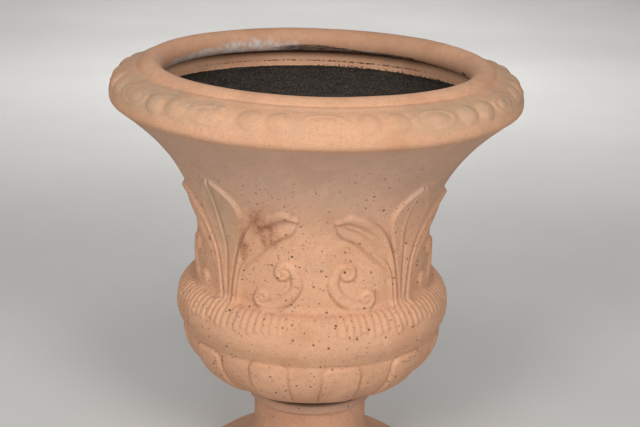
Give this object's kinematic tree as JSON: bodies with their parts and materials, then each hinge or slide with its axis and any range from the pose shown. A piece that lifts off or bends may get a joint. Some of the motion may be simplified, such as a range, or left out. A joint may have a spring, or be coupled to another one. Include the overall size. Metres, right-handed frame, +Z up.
{
  "type": "pedestal urn planter",
  "caption": "Terracotta campana urn: bell-shaped bowl with rolled mouth and relief ornament, standing dry on a separate hollow round pedestal foot, lined with a black coat.",
  "frame": {"origin": "middle of the underside of the foot, on the ground", "axes": "+Z up along the urn's axis; -Y is the front, where the gap between two leaf sprays faces the viewer"},
  "size_m": [0.5326, 0.5326, 0.5876],
  "materials": {
    "terracotta_bowl": "matte unglazed fired clay",
    "terracotta_foot": "matte unglazed fired clay",
    "black_sealing_coat": "brushed bitumen, satin"
  },
  "bodies": {
    "pedestal": {"pedestal_foot": "terracotta_foot"},
    "bowl": {"urn_bowl": "terracotta_bowl", "sealant_coat": "black_sealing_coat"}
  },
  "joints": [
    {"name": "bowl_lift", "type": "slide", "parent": "pedestal", "child": "bowl", "axis": [0, 0, 1], "range_m": [0, 0.12]}
  ]
}
